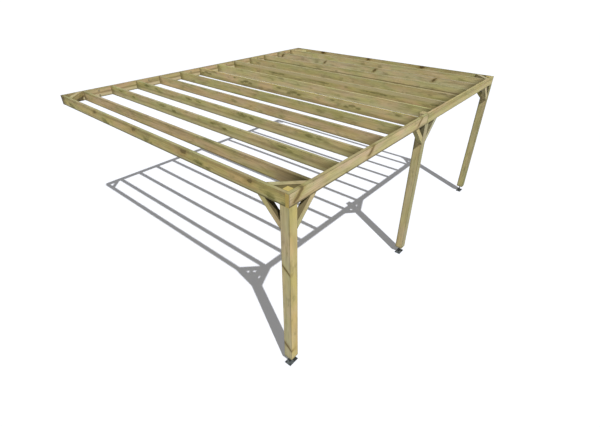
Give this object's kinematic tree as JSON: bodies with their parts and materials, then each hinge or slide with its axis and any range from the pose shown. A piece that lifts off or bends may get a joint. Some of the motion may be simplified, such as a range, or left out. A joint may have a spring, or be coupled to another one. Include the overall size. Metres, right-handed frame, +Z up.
{
  "type": "lean-to pergola",
  "caption": "Lean-to pergola: an open flat frame of treated softwood rafters, held by a house wall at the back and by braced square posts on steel shoes at the front.",
  "frame": {"origin": "centre of the wall plate's back face, where the frame is bolted to the house wall", "axes": "+X along the wall from the near end to the far end, +Y into the wall, +Z up"},
  "size_m": [6.03, 5, 2.53],
  "materials": {
    "green_timber": "pressure-treated, planed",
    "pink_timber": "pressure-treated, planed",
    "tan_timber": "pressure-treated, planed",
    "post_timber": "pressure-treated, planed",
    "dark_steel": "dark coated"
  },
  "bodies": {
    "root": {"wall_plate": "green_timber", "near_end_beam": "green_timber", "far_end_beam": "green_timber", "near_front_beam": "tan_timber", "far_front_beam": "tan_timber", "rafter_01": "pink_timber", "rafter_02": "green_timber", "rafter_03": "pink_timber", "rafter_04": "green_timber", "rafter_05": "pink_timber", "rafter_06": "green_timber", "rafter_07": "pink_timber", "rafter_08": "green_timber", "rafter_09": "pink_timber", "rafter_10": "green_timber", "rafter_11": "pink_timber", "rafter_12": "green_timber", "near_post": "post_timber", "middle_post": "post_timber", "far_post": "post_timber", "near_post_shoe": "dark_steel", "middle_post_shoe": "dark_steel", "far_post_shoe": "dark_steel", "near_end_knee_brace": "tan_timber", "near_front_knee_brace": "tan_timber", "middle_near_knee_brace": "tan_timber", "middle_far_knee_brace": "tan_timber", "far_front_knee_brace": "tan_timber", "far_end_knee_brace": "tan_timber", "near_front_corner_brace": "tan_timber", "far_front_corner_brace": "tan_timber", "near_wall_corner_brace": "tan_timber", "far_wall_corner_brace": "tan_timber"}
  },
  "joints": []
}
